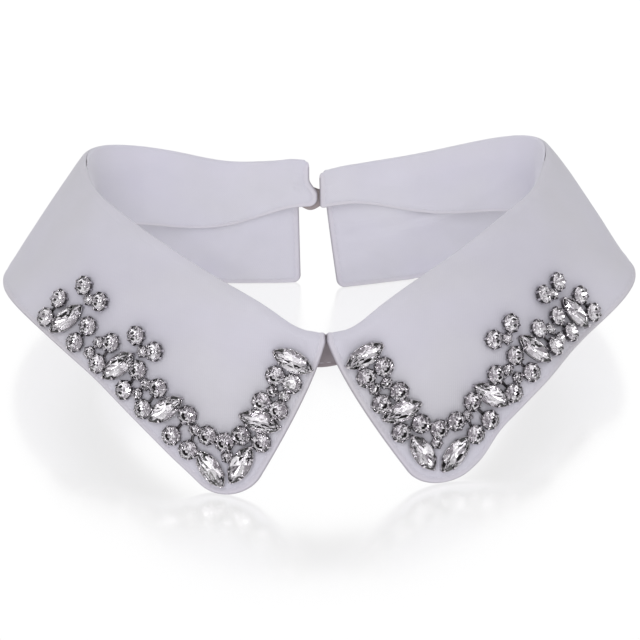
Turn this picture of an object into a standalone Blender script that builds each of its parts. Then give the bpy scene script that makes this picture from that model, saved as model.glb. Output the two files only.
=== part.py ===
"""Detachable shirt collar that stands by itself: stand, two pointed leaves, closure tab and set stones.

Tables and constants are in millimetres. +X is the right of the picture, +Y is the back of the neck, +Z is up.
"""

import math

import bpy
import numpy as np

MM = 0.001
CLOTH = 1.3
SEAM = 0.35
ROLL = 2.4
SEAM_DROP = 0.8
ROLL_STEPS = 5
FALL_STEPS = 8
HANDLE = 0.3
SLANT = 0.6
FRONT_GAP = 0.2
LEAF_END_LEFT = 6.6
LEAF_END_RIGHT = 1.6
TIP_RADIUS_LEFT = 12.0
TIP_RADIUS_RIGHT = 11.0
TIP_ANGLE = math.radians(74.0)
BACK_CORNER_RADIUS = 3.0
STAND_TOP_CORNER = 3.0
STAND_LOW_CORNER = 1.8
STAND_RISE = 3.6
LOBE = 2.8
LOBE_REACH = 10.0
COLUMN_PITCH = 5.0
STAND_STEPS = 4
STAND_LEAST_PITCH = 2.4
TAB_WALL = 1.1
TAB_STEPS = 3
# The trim table is drawn in a little along each hem, and set this much further up from it.
TRIM_SHARE_LEFT = 0.972
TRIM_SHARE_RIGHT = 0.955
TRIM_RISE_LEFT = 0.6
TRIM_RISE_RIGHT = 1.3
STONE_LIFT = 0.42
LINK_HALF_WIDTH = 0.6
LINK_LOW = 0.15
LINK_HIGH = 0.9
WHITE_CLOTH = (0.78, 0.76, 0.80, 1.0)
TAB_GREY = (0.45, 0.43, 0.46, 1.0)
CRYSTAL = (0.80, 0.81, 0.84, 1.0)

# The top of the roll, from the left back end round the front to the right back end.
# stand is the height of the neckband below the roll, lean is how far its lower edge stands outwards.
RING = (
    # station      x      y     top   stand  lean
    ("left_end", 2.2, 127.4, 46.6, 11.2, 0.0),
    ("left_lobe", -6.0, 127.6, 47.6, 12.6, 0.0),
    ("left_back", -26.6, 127.3, 48.1, 18.8, 0.0),
    ("left_rear", -43.7, 126.4, 52.6, 24.0, 0.5),
    ("left_turn", -61.6, 122.4, 58.4, 25.5, 1.0),
    ("left_corner", -72.8, 111.5, 62.8, 26.0, 1.5),
    ("left_side", -73.2, 98.0, 61.8, 25.0, 2.0),
    ("left_flank", -65.6, 80.8, 61.6, 23.5, 2.0),
    ("left_chest", -49.1, 59.4, 60.8, 20.5, 2.0),
    ("left_fore", -31.6, 43.5, 57.3, 16.5, 1.5),
    ("left_near", -15.7, 33.2, 52.1, 13.0, 1.0),
    ("left_lap", -8.5, 29.8, 48.4, 11.2, 0.5),
    ("front", 0.5, 28.0, 47.0, 9.8, 0.5),
    ("right_lap", 8.6, 29.8, 47.6, 9.6, 0.5),
    ("right_near", 15.9, 33.0, 51.5, 11.6, 1.0),
    ("right_fore", 30.0, 42.5, 56.6, 15.5, 1.5),
    ("right_chest", 46.0, 56.5, 59.3, 20.0, 2.0),
    ("right_flank", 62.0, 76.0, 59.8, 23.0, 2.0),
    ("right_side", 73.8, 96.0, 60.2, 25.0, 2.0),
    ("right_corner", 75.4, 109.0, 63.6, 25.5, 1.5),
    ("right_turn", 64.3, 121.8, 58.8, 23.8, 1.0),
    ("right_rear", 43.9, 126.2, 51.9, 19.8, 0.5),
    ("right_back", 25.6, 127.6, 47.5, 12.6, 0.0),
    ("right_wave", 17.0, 127.7, 46.0, 9.8, 0.0),
    ("right_end", 2.8, 127.4, 43.0, 8.6, 0.0),
)

# The hem of each leaf below the same stations. steep is the angle below level at which the cloth leaves the roll.
LEAF_LEFT = (
    # station       x      y      z   steep
    ("front", -28.4, 6.5, -6.5, 63.0),
    ("left_lap", -35.0, 10.9, -1.6, 64.0),
    ("left_near", -40.5, 14.5, 3.3, 65.0),
    ("left_fore", -52.8, 23.6, 12.0, 66.0),
    ("left_chest", -70.3, 42.0, 20.6, 64.0),
    ("left_flank", -92.5, 66.5, 28.6, 56.0),
    ("left_side", -102.6, 92.5, 24.5, 52.0),
    ("left_corner", -99.5, 113.0, 19.0, 56.0),
    ("left_turn", -80.5, 131.5, 11.0, 70.0),
    ("left_rear", -53.0, 130.5, 3.0, 82.0),
    ("left_back", -30.7, 127.4, -0.3, 88.0),
    ("left_lobe", -5.4, 126.6, -0.3, 89.0),
    ("left_end", 2.9, 126.6, -0.3, 89.0),
)
LEAF_RIGHT = (
    # station       x      y      z   steep
    ("front", 33.5, 10.2, -6.4, 62.0),
    ("right_lap", 38.1, 12.9, -2.1, 63.0),
    ("right_near", 43.0, 15.9, 1.8, 64.0),
    ("right_fore", 55.4, 26.0, 10.2, 66.0),
    ("right_chest", 72.6, 41.0, 20.4, 64.0),
    ("right_flank", 88.4, 64.0, 20.5, 56.0),
    ("right_side", 105.6, 88.0, 25.0, 48.0),
    ("right_corner", 102.0, 112.0, 18.0, 50.0),
    ("right_turn", 82.3, 130.7, 10.2, 67.0),
    ("right_rear", 53.0, 129.5, 2.5, 82.0),
    ("right_back", 30.5, 126.0, -0.3, 88.0),
    ("right_wave", 22.5, 124.6, -0.3, 88.0),
    ("right_end", 7.2, 122.2, -0.3, 89.0),
)

# The closure tab behind the two back ends of the neckband.
TAB = (
    # x     low    top
    (-6.5, 33.6, 37.8),
    (-3.4, 30.9, 38.6),
    (-0.2, 29.4, 38.9),
    (2.9, 30.9, 37.6),
    (5.4, 32.8, 37.1),
    (8.6, 33.6, 36.8),
)

# The trim of one leaf, mirrored on the other. along is from the front tip along the hem, up is from the hem
# towards the roll, turn is the long axis of a pointed stone from the hem line, and set names the solid it is in.
TRIM = (
    # kind    along   up   turn  set
    ("navette", 6.6, 14.6, 78, "navette_1"),
    ("navette", 14.6, 6.2, 8, "navette_2"),
    ("small", 11.6, 13.0, 0, "set_1"),
    ("round", 14.4, 16.0, 0, "set_1"),
    ("round", 20.2, 13.6, 0, "set_1"),
    ("small", 24.6, 11.6, 0, "set_2"),
    ("round", 23.8, 5.6, 0, "set_2"),
    ("round", 28.4, 13.8, 0, "set_3"),
    ("round", 30.7, 5.0, 0, "set_3"),
    ("navette", 35.7, 10.2, 108, "navette_3"),
    ("round", 41.0, 13.4, 0, "set_4"),
    ("round", 43.1, 5.0, 0, "set_4"),
    ("small", 46.0, 11.2, 0, "set_5"),
    ("small", 47.6, 7.0, 0, "set_5"),
    ("round", 50.8, 12.9, 0, "set_6"),
    ("round", 52.3, 4.9, 0, "set_6"),
    ("navette", 58.1, 9.4, 106, "navette_4"),
    ("round", 64.6, 12.8, 0, "set_7"),
    ("round", 65.7, 4.8, 0, "set_7"),
    ("small", 69.4, 9.8, 0, "set_8"),
    ("small", 71.0, 5.2, 0, "set_8"),
    ("round", 75.6, 11.6, 0, "set_9"),
    ("round", 77.0, 4.4, 0, "set_9"),
    ("navette", 84.4, 8.2, 106, "navette_5"),
    ("round", 91.4, 11.4, 0, "set_10"),
    ("round", 91.8, 4.0, 0, "set_10"),
    ("round", 47.4, 21.6, 0, "crown_1"),
    ("small", 52.2, 18.4, 0, "crown_1"),
    ("round", 56.6, 21.0, 0, "crown_1"),
    ("round", 76.0, 20.0, 0, "crown_2"),
    ("small", 81.0, 17.8, 0, "crown_2"),
    ("round", 85.6, 20.2, 0, "crown_2"),
    ("round", 4.6, 24.6, 0, "edge_1"),
    ("round", 10.8, 21.6, 0, "edge_1"),
    ("navette", 8.0, 29.2, 155, "navette_6"),
    ("round", 4.4, 36.0, 0, "edge_2"),
    ("round", 10.2, 34.4, 0, "edge_2"),
    ("small", 5.0, 40.6, 0, "edge_3"),
    ("small", 8.6, 39.2, 0, "edge_3"),
    ("round", 4.4, 45.4, 0, "edge_4"),
    ("round", 9.9, 43.8, 0, "edge_4"),
    ("navette", 6.8, 51.0, 165, "navette_7"),
)
STONES = {
    # kind      half length, half width, sides, ring heights, ring sizes
    "navette": (6.8, 3.0, 8, (0.0, 1.5, 3.6), (0.86, 1.0, 0.5)),
    "round": (2.75, 2.75, 8, (0.0, 1.4, 3.1), (0.9, 1.0, 0.58)),
    "small": (1.7, 1.7, 6, (0.0, 0.9, 2.0), (0.9, 1.0, 0.6)),
}


def spline(knots, rows, at):
    """Natural cubic spline through the rows of a table."""
    t = np.asarray(knots, float)
    p = np.asarray(rows, float)
    gap = np.diff(t)
    count = len(t)
    matrix = np.zeros((count, count))
    right = np.zeros_like(p)
    matrix[0, 0] = matrix[-1, -1] = 1.0
    for i in range(1, count - 1):
        matrix[i, i - 1 : i + 2] = gap[i - 1], 2 * (gap[i - 1] + gap[i]), gap[i]
        right[i] = 6 * ((p[i + 1] - p[i]) / gap[i] - (p[i] - p[i - 1]) / gap[i - 1])
    bend = np.linalg.solve(matrix, right)
    at = np.clip(np.atleast_1d(np.asarray(at, float)), t[0], t[-1])
    i = np.clip(np.searchsorted(t, at) - 1, 0, count - 2)
    a = (at - t[i])[:, None]
    b = (t[i + 1] - at)[:, None]
    w = gap[i][:, None]
    ends = (p[i] / w - bend[i] * w / 6) * b + (p[i + 1] / w - bend[i + 1] * w / 6) * a
    return (bend[i] * b**3 + bend[i + 1] * a**3) / (6 * w) + ends


STATIONS = [row[0] for row in RING]
CREST = np.array([row[1:4] for row in RING])
BAND = np.array([row[4:6] for row in RING])
KNOTS = np.r_[0.0, np.cumsum(np.linalg.norm(np.diff(CREST, axis=0), axis=1))]
FRONT = KNOTS[STATIONS.index("front")]
RING_LENGTH = KNOTS[-1]


def crest(at):
    return spline(KNOTS, CREST, at)


def outward(at):
    """Level direction away from the neck, square to the roll seen from above."""
    step = crest(np.atleast_1d(at) + 0.4)[:, :2] - crest(np.atleast_1d(at) - 0.4)[:, :2]
    step /= np.linalg.norm(step, axis=1)[:, None]
    return np.stack([step[:, 1], -step[:, 0], np.zeros(len(step))], axis=1) * np.array([1.0, 1.0, 0.0])


UP = np.array([0.0, 0.0, 1.0])


class Leaf:
    """One fall of the collar: crest, roll and fall line at every distance along the ring."""

    def __init__(self, table, start, end, tip_radius):
        self.at = np.array([KNOTS[STATIONS.index(row[0])] for row in table])
        self.rows = np.array([row[1:] for row in table])
        order = np.argsort(self.at)
        self.knots, self.sorted = self.at[order], self.rows[order]
        self.start, self.end = start, end
        self.tip_radius = tip_radius
        fine = np.linspace(start, end, 241)
        hem = self.row(fine)[:, :3]
        self.fine = fine
        self.hem_length = np.r_[0.0, np.cumsum(np.linalg.norm(np.diff(hem, axis=0), axis=1))]

    def row(self, at):
        return spline(self.knots, self.sorted, at)

    def place(self, along):
        """Distance round the ring of the section whose hem is this far from the front tip."""
        return np.interp(along, self.hem_length, self.fine)

    def section(self, at):
        """Points of one section from the seam over the roll to the hem, and where the fall starts."""
        row = self.row(at)[0]
        out = outward(at)[0]
        top = crest(at)[0]
        steep = math.radians(row[3])
        centre = top - ROLL * UP
        turn = np.linspace(math.pi, math.pi / 2 - steep, ROLL_STEPS)
        roll = [centre - ROLL * out - SEAM_DROP * UP]
        roll += [centre + ROLL * (math.cos(a) * out + math.sin(a) * UP) for a in turn]
        leave = math.cos(steep) * out - math.sin(steep) * UP
        hem = row[:3]
        length = np.linalg.norm(hem - roll[-1])
        level = np.cross(UP, out)
        slant = SLANT * (hem - roll[-1]) @ level / length
        leave = math.sqrt(1 - slant * slant) * leave + slant * level
        handle = roll[-1] + leave * HANDLE * length
        share = np.linspace(0, 1, 33)[:, None]
        fall = (1 - share) ** 2 * roll[-1] + 2 * share * (1 - share) * handle + share**2 * hem
        return np.array(roll), fall

    def point(self, along, up):
        """Middle of the cloth this far along the hem from the tip and this far up from the hem."""
        fall = self.section(self.place(along))[1]
        run = np.r_[0.0, np.cumsum(np.linalg.norm(np.diff(fall, axis=0), axis=1))]
        at = run[-1] - up
        return np.array([np.interp(at, run, fall[:, k]) for k in range(3)])

    def frame(self, along, up):
        """Point, slopes along and up, and the outward normal."""
        here = self.point(along, up)
        step_along = (self.point(along + 1.0, up) - self.point(max(along - 1.0, 0.0), up)) / (
            1.0 + min(along, 1.0)
        )
        step_up = (self.point(along, up + 1.0) - self.point(along, up - 1.0)) / 2.0
        normal = np.cross(step_along, step_up)
        normal /= np.linalg.norm(normal)
        if normal @ outward(self.place(along))[0] < 0:
            normal = -normal
        return here, step_along, step_up, normal


def corner_cut(distance, radius, angle):
    """How far a rounded corner cuts back the line this far from the edge, measured along the line."""
    reach = radius / math.tan(angle / 2)
    if distance >= reach:
        return 0.0
    b = (distance - reach) * math.cos(angle) - radius * math.sin(angle)
    return -b - math.sqrt(max(b * b - (distance - reach) ** 2, 0.0))


def corner_columns(radius, angle, count):
    """Distances from the edge for the columns of a rounded corner, closer together at the edge."""
    reach = radius / math.tan(angle / 2)
    return [reach * (k / count) ** 2 for k in range(count + 1)]


def material(name, colour, roughness, metallic=0.0):
    made = bpy.data.materials.new(name)
    made.use_nodes = True
    shader = made.node_tree.nodes["Principled BSDF"]
    shader.inputs["Base Color"].default_value = colour
    shader.inputs["Roughness"].default_value = roughness
    shader.inputs["Metallic"].default_value = metallic
    made.diffuse_color = colour
    return made


def add_object(name, points, faces, collection, colour_material):
    mesh = bpy.data.meshes.new(name)
    mesh.from_pydata([tuple(p) for p in (np.asarray(points) - ORIGIN) * MM], [], faces)
    mesh.validate()
    mesh.update()
    mesh.materials.append(colour_material)
    made = bpy.data.objects.new(name, mesh)
    collection.objects.link(made)
    return made


def add_sheet(name, grid, wall, collection, colour_material):
    """A cloth piece: a grid of points on the middle of the wall, made solid by its modifier."""
    grid = np.asarray(grid)
    across, down = grid.shape[:2]
    faces = []
    for i in range(across - 1):
        for j in range(down - 1):
            a = i * down + j
            faces.append((a, a + down, a + down + 1, a + 1))
    made = add_object(name, grid.reshape(-1, 3), faces, collection, colour_material)
    wall_modifier = made.modifiers.new("wall", "SOLIDIFY")
    wall_modifier.thickness = wall * MM
    wall_modifier.offset = 0.0
    return made


def columns_between(start, end, pitch):
    count = max(int(round((end - start) / pitch)), 1)
    return list(np.linspace(start, end, count + 1))


def leaf_columns(leaf):
    """Distances along the hem for the columns of a leaf, closer together at its two corners."""
    tip = corner_columns(leaf.tip_radius, TIP_ANGLE, 7)
    back = [leaf.hem_length[-1] - d for d in corner_columns(BACK_CORNER_RADIUS, math.pi / 2, 4)][::-1]
    return tip + columns_between(tip[-1], back[0], COLUMN_PITCH)[1:-1] + back


def leaf_grid(leaf):
    """Rows from the seam to the hem in columns from the front edge to the back end."""
    total = leaf.hem_length[-1]
    grid = []
    for distance in leaf_columns(leaf):
        roll, fall = leaf.section(leaf.place(distance))
        run = np.r_[0.0, np.cumsum(np.linalg.norm(np.diff(fall, axis=0), axis=1))]
        cut = corner_cut(distance, leaf.tip_radius, TIP_ANGLE)
        cut += corner_cut(total - distance, BACK_CORNER_RADIUS, math.pi / 2)
        stops = np.linspace(0.0, run[-1] - cut, FALL_STEPS + 1)[1:]
        lower = [[np.interp(s, run, fall[:, k]) for k in range(3)] for s in stops]
        grid.append(list(roll) + lower)
    return grid


def stand_point(at, down):
    """Middle of the neckband, this far below the seam."""
    height, lean = spline(KNOTS, BAND, at)[0]
    out = outward(at)[0]
    top = crest(at)[0] - ROLL * out - (ROLL + SEAM_DROP + SEAM) * UP
    over = ROLL * (1 - math.cos(min(-down / STAND_RISE, 1.0) * math.pi / 2)) if down < 0 else 0.0
    return top - down * UP + out * (lean * max(down, 0.0) / height + over)


def smooth(share):
    share = min(max(share, 0.0), 1.0)
    return share * share * (3 - 2 * share)


def stand_column(at, edge, rise, set_back):
    """One column of the neckband; near an end its corners are round and its top may rise beside the roll."""
    height = spline(KNOTS, BAND, at)[0][0]
    top = corner_cut(edge, STAND_TOP_CORNER, math.pi / 2) - rise
    low = height - corner_cut(edge, STAND_LOW_CORNER, math.pi / 2)
    column = []
    for share in np.linspace(0.0, 1.0, STAND_STEPS + 1):
        down = top + (low - top) * share
        back = set_back * (1.0 - smooth((share - 0.4) / 0.45)) * max(1.0 - edge / LOBE_REACH, 0.0)
        column.append(stand_point(at + back, down))
    return column


def stand_grid():
    """The neckband from its left back end to its right one. Past each leaf its top rises to the roll."""
    corner = [STAND_TOP_CORNER * (k / 5) ** 2 for k in range(6)]
    left_rise = LEAF_END_LEFT - LOBE - 0.7
    right_rise = LEAF_END_RIGHT - 0.7
    left_edges = [e for e in corner if e < left_rise - 0.2] + [left_rise, left_rise + 0.06, left_rise + 2.0]
    right_edges = [e for e in corner if e < right_rise - 0.2] + [right_rise, right_rise + 0.06] + corner[-1:]
    grid = [stand_column(e, e, STAND_RISE if e <= left_rise else 0.0, LOBE) for e in left_edges]
    shared = sorted(leaf.place(d) for leaf in (left, right) for d in leaf_columns(leaf))
    inner = [left_edges[-1]]
    for at in shared:
        if at - inner[-1] > STAND_LEAST_PITCH and RING_LENGTH - right_edges[-1] - at > STAND_LEAST_PITCH:
            inner.append(at)
    inner = inner[1:]
    grid += [stand_column(at, min(at, RING_LENGTH - at), 0.0, LOBE if at < LOBE_REACH else 0.0) for at in inner]
    for e in reversed(right_edges):
        grid.append(stand_column(RING_LENGTH - e, e, STAND_RISE if e <= right_rise else 0.0, 0.0))
    return grid


def stone_outline(kind):
    """Outline of a stone about its middle, round or with two points."""
    half_length, half_width, sides = STONES[kind][:3]
    if kind != "navette":
        turn = [2 * math.pi * k / sides for k in range(sides)]
        return [(half_length * math.cos(a), half_width * math.sin(a)) for a in turn]
    runs = [math.cos(2 * math.pi * k / sides) for k in range(sides)]
    signs = [0 if k in (0, sides // 2) else (1 if k < sides // 2 else -1) for k in range(sides)]
    return [(half_length * x, sign * half_width * (1 - x * x) ** 0.8) for x, sign in zip(runs, signs)]


def stone_place(leaf, along, up):
    """Point on the leaf with unit directions along the hem, up from it and outwards, and how to step to a point beside it."""
    here, step_along, step_up, normal = leaf.frame(along, up)
    right_way = step_along / np.linalg.norm(step_along)
    up_way = step_up - (step_up @ right_way) * right_way
    up_way /= np.linalg.norm(up_way)
    steps = np.linalg.pinv(np.stack([step_along, step_up], axis=1))
    return normal, right_way, up_way, steps


def lifted(leaf, along, up, place, x, y, height):
    """Point beside a stone's middle, moved out from the leaf by this height above its face."""
    normal, right_way, up_way, steps = place
    d_along, d_up = steps @ (x * right_way + y * up_way)
    return leaf.point(max(along + d_along, 0.0), up + d_up) + normal * (CLOTH / 2 + STONE_LIFT + height)


def ring_solid(rings):
    """Closed faces over rings of equal count, the first ring lowest."""
    count = len(rings[0])
    faces = [tuple(reversed(range(count)))]
    for level in range(len(rings) - 1):
        low = level * count
        for k in range(count):
            n = (k + 1) % count
            faces.append((low + k, low + n, low + count + n, low + count + k))
    faces.append(tuple(range((len(rings) - 1) * count, len(rings) * count)))
    return [p for ring in rings for p in ring], faces


def stone_solid(leaf, kind, along, up, turn):
    heights, sizes = STONES[kind][3:]
    place = stone_place(leaf, along, up)
    c, s = math.cos(math.radians(turn)), math.sin(math.radians(turn))
    rings = []
    for height, size in zip(heights, sizes):
        ring = []
        for x, y in stone_outline(kind):
            x, y = x * size, y * size
            ring.append(lifted(leaf, along, up, place, x * c - y * s, x * s + y * c, height))
        rings.append(ring)
    points, faces = ring_solid(rings)
    if np.cross(place[1], place[2]) @ place[0] < 0:
        faces = [tuple(reversed(face)) for face in faces]
    return points, faces


def link_solid(leaf, first, second):
    """Solder bar between the settings of two neighbouring stones."""
    ends = []
    for row in (first, second):
        place = stone_place(leaf, row[1], row[2])
        ends.append((row, place, lifted(leaf, row[1], row[2], place, 0, 0, 0)))
    span = ends[1][2] - ends[0][2]
    span /= np.linalg.norm(span)
    rings = []
    for row, place, middle in ends:
        side = np.cross(place[0], span)
        side *= LINK_HALF_WIDTH / np.linalg.norm(side)
        low, high = place[0] * LINK_LOW, place[0] * LINK_HIGH
        rings.append([middle - side + low, middle + side + low, middle + side + high, middle - side + high])
    return ring_solid(rings)


def add_trim(leaf, side, share, rise, stone_material):
    """All stones of one leaf; stones of one set are joined by their solder bars."""
    sets = {}
    for kind, along, up, turn, name in TRIM:
        sets.setdefault(name, []).append((kind, along * share, up + rise, turn))
    for name, rows in sets.items():
        solids = [stone_solid(leaf, *row) for row in rows]
        solids += [link_solid(leaf, a, b) for a, b in zip(rows, rows[1:])]
        base = add_object(f"{name}_{side}", *solids[0], collar, stone_material)
        for number, solid in enumerate(solids[1:], 1):
            joined = add_object(f"{name}_{side}_joined_{number}", *solid, cutters, stone_material)
            joined.hide_render = True
            joined.display_type = "WIRE"
            union = base.modifiers.new(f"join_{number}", "BOOLEAN")
            union.operation = "UNION"
            union.solver = "EXACT"
            union.object = joined


def tab_grid():
    rows = np.array(TAB)
    grid = []
    for x, low, top in spline(rows[:, 0], rows, np.linspace(rows[0, 0], rows[-1, 0], 13)):
        at = CREST[0][0] - x if x < CREST[0][0] else RING_LENGTH - max(x - CREST[-1][0], 0.0)
        back = crest(at)[0][1] - ROLL + CLOTH / 2 + SEAM + TAB_WALL / 2
        grid.append([(x, back, z) for z in np.linspace(top, low, TAB_STEPS + 1)])
    return grid


def stand_on_floor(piece, floor):
    cut = piece.modifiers.new("floor", "BOOLEAN")
    cut.operation = "DIFFERENCE"
    cut.solver = "EXACT"
    cut.object = floor


def remove_all():
    for old in list(bpy.data.objects):
        bpy.data.objects.remove(old, do_unlink=True)


ORIGIN = np.array([1.485, 71.292, 0.0])

remove_all()
collar = bpy.data.collections.new("shirt_collar")
cutters = bpy.data.collections.new("cutters")
bpy.context.scene.collection.children.link(collar)
bpy.context.scene.collection.children.link(cutters)
cotton = material("white_cotton", WHITE_CLOTH, 0.9)

left = Leaf(LEAF_LEFT, FRONT - FRONT_GAP, LEAF_END_LEFT, TIP_RADIUS_LEFT)
right = Leaf(LEAF_RIGHT, FRONT + FRONT_GAP, RING_LENGTH - LEAF_END_RIGHT, TIP_RADIUS_RIGHT)
stand = add_sheet("stand", stand_grid(), CLOTH, collar, cotton)
leaf_left = add_sheet("leaf_left", leaf_grid(left), CLOTH, collar, cotton)
leaf_right = add_sheet("leaf_right", leaf_grid(right), CLOTH, collar, cotton)
closure_tab = add_sheet("closure_tab", tab_grid(), TAB_WALL, collar, material("grey_cotton", TAB_GREY, 0.9))

floor_points = [(x, y, z) for z in (-20.0, 0.0) for x, y in ((-140, -40), (140, -40), (140, 180), (-140, 180))]
floor_faces = [(3, 2, 1, 0), (4, 5, 6, 7), (0, 1, 5, 4), (1, 2, 6, 5), (2, 3, 7, 6), (3, 0, 4, 7)]
floor = add_object("floor_level", floor_points, floor_faces, cutters, cotton)
floor.hide_render = True
floor.display_type = "WIRE"
stand_on_floor(leaf_left, floor)
stand_on_floor(leaf_right, floor)

crystal = material("clear_crystal", CRYSTAL, 0.12)
add_trim(left, "left", TRIM_SHARE_LEFT, TRIM_RISE_LEFT, crystal)
add_trim(right, "right", TRIM_SHARE_RIGHT, TRIM_RISE_RIGHT, crystal)
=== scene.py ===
"""Looks of the detachable shirt collar: cloth shells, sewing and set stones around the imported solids.

Tables and constants are in millimetres, and their angles in degrees, unless a comment says otherwise.
"""

import math

import bpy
import numpy as np
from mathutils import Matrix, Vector


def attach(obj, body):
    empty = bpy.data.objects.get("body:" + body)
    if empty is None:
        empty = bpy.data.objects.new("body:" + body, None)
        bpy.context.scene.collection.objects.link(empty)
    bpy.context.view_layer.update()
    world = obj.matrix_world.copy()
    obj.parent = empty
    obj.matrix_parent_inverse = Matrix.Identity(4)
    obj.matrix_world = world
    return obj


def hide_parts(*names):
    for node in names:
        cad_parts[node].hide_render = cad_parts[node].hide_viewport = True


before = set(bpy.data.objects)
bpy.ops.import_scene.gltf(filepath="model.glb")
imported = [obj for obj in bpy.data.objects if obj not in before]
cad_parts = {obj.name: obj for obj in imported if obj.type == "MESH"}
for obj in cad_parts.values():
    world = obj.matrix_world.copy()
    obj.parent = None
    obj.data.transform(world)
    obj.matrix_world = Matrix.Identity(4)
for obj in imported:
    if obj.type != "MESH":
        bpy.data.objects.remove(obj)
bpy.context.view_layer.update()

MM = 0.001
ORIGIN = np.array([1.485, 71.292, 0.0])
UP = np.array([0.0, 0.0, 1.0])
SQUARE = math.pi / 2
CLOTH = 1.3
SEAM = 0.35
FLOOR_CLEAR = 0.02

# The roll: its radius, the share it narrows by on top, and how the neckband leans out to it.
ROLL = 2.4
PINCH = 0.5
LEAN_FROM = 8.6
LEAN_POWER = 1.7
SEAM_DROP = 0.8
SEAM_SPLIT = 0.55
RING_STEP = 0.4

# Leaves. HANDLE is the share of a fall that starts straight, SLANT the share of its slant that it keeps.
HANDLE = 0.3
SLANT = 0.6
FRONT_GAP = 0.2
LEAF_END_LEFT = 6.6
LEAF_END_RIGHT = 1.6
TIP_RADIUS_LEFT = 12.0
TIP_RADIUS_RIGHT = 11.0
TIP_ANGLE = math.radians(74.0)
BACK_CORNER_RADIUS = 3.0
TIP_COLUMNS = 22
BACK_COLUMNS = 12
LEAF_PITCH = 1.7
ROLL_STEPS = 27
FALL_STEPS = 49
FALL_ROWS = 32
HEM_SPARE = 3.0
PAST_ROLL = 20.0
EDGE_STOPS = np.array([2.6, 2.2, 1.8, 1.4, 1.0, 0.65, 0.35, 0.12, 0.0])

# Leaf's cloth under the neckband's: half its wall there, and how far it sinks.
TUCKED_HALF = 0.30
TUCKED_SINK = 0.33

# Neckband: corners, the lobe of its left end, and the swing of its lower edge along the back.
STAND_TOP_CORNER = 3.0
STAND_LOW_CORNER = 1.8
LEFT_LOW_CORNER = 3.2
STAND_RISE = 3.6
LOBE = 2.8
LOBE_REACH = 10.0
LOW_SWING = 2.9
SWING_POWER = 2.4
SWING_DROP = 0.7
BACK_REACH = 110.0
BACK_FADE = 30.0
CORNER_COLUMNS = 14
END_COLUMNS = 11
END_PITCH = 0.7
STAND_PITCH = 2.2
STAND_ROWS = np.r_[0.0, 0.006, 0.02, 0.045, 0.08, np.linspace(0.12, 0.88, 14), 0.92, 0.955, 0.98, 0.994, 1.0]

# Neckband's inner cloth over the roll: how far it covers it, where that changes, its wall and its rows.
FACING = 3.45
FACING_BACK = 6.3
FACING_END = 5.2
FACING_TURN = 102.0
FACING_FADE = 30.0
FACING_REACH = 16.0
FACING_FULL_LEFT = 4.0
FACING_FULL_RIGHT = 2.0
FACING_WALL = 0.60
FACING_ROWS = 20
FACING_SPREAD = 1.5
FLARE_LEFT = 1.0
FLARE_RIGHT = 0.5
FLARE_FADE = 10.0
FLARE_RISE = 4.5

# Turned edge: its round lip as a share of the wall, the ridge of turned-in cloth, and the pressed line.
LIP = 0.55
RIDGE = 0.16
RIDGE_START = 0.8
RIDGE_END = 4.4
RIDGE_FADE = 1.6
GROOVE = 0.19
GROOVE_WIDTH = 0.42

# Stitches: the form gives shares of a stitch's length and of its radius there.
STITCH_INSET = 1.9
STITCH_LENGTH = 1.75
STITCH_GAP = 0.65
STITCH_RADIUS = 0.11
STITCH_FLAT = 1.15
STITCH_SINK = 0.10
STITCH_SIDES = 6
STITCH_FORM = ((0.0, 0.35), (0.12, 0.85), (0.5, 1.0), (0.88, 0.85), (1.0, 0.35))

# Pressed cotton's slight waves: how many, their height, and their shortest and longest pitch.
WAVES = 7
WAVE_HEIGHT = 0.022
WAVE_PITCH = (16.0, 46.0)

# Trim: share by which its table is drawn in along each leaf, and how far up it moves.
TRIM_SHARE_LEFT = 0.972
TRIM_SHARE_RIGHT = 0.955
TRIM_RISE_LEFT = 0.6
TRIM_RISE_RIGHT = 1.3

# Closure tab.
TAB_WALL = 1.1
TAB_CORNER = 1.2

# The same construction as the solids: the top of the roll with the neckband's height and lean below it.
RING = (
    # station      x      y     top   stand  lean
    ("left_end", 2.2, 127.4, 46.6, 11.2, 0.0),
    ("left_lobe", -6.0, 127.6, 47.6, 12.6, 0.0),
    ("left_back", -26.6, 127.3, 48.1, 18.8, 0.0),
    ("left_rear", -43.7, 126.4, 52.6, 24.0, 0.5),
    ("left_turn", -61.6, 122.4, 58.4, 25.5, 1.0),
    ("left_corner", -72.8, 111.5, 62.8, 26.0, 1.5),
    ("left_side", -73.2, 98.0, 61.8, 25.0, 2.0),
    ("left_flank", -65.6, 80.8, 61.6, 23.5, 2.0),
    ("left_chest", -49.1, 59.4, 60.8, 20.5, 2.0),
    ("left_fore", -31.6, 43.5, 57.3, 16.5, 1.5),
    ("left_near", -15.7, 33.2, 52.1, 13.0, 1.0),
    ("left_lap", -8.5, 29.8, 48.4, 11.2, 0.5),
    ("front", 0.5, 28.0, 47.0, 9.8, 0.5),
    ("right_lap", 8.6, 29.8, 47.6, 9.6, 0.5),
    ("right_near", 15.9, 33.0, 51.5, 11.6, 1.0),
    ("right_fore", 30.0, 42.5, 56.6, 15.5, 1.5),
    ("right_chest", 46.0, 56.5, 59.3, 20.0, 2.0),
    ("right_flank", 62.0, 76.0, 59.8, 23.0, 2.0),
    ("right_side", 73.8, 96.0, 60.2, 25.0, 2.0),
    ("right_corner", 75.4, 109.0, 63.6, 25.5, 1.5),
    ("right_turn", 64.3, 121.8, 58.8, 23.8, 1.0),
    ("right_rear", 43.9, 126.2, 51.9, 19.8, 0.5),
    ("right_back", 25.6, 127.6, 47.5, 12.6, 0.0),
    ("right_wave", 17.0, 127.7, 46.0, 9.8, 0.0),
    ("right_end", 2.8, 127.4, 43.0, 8.6, 0.0),
)
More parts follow.
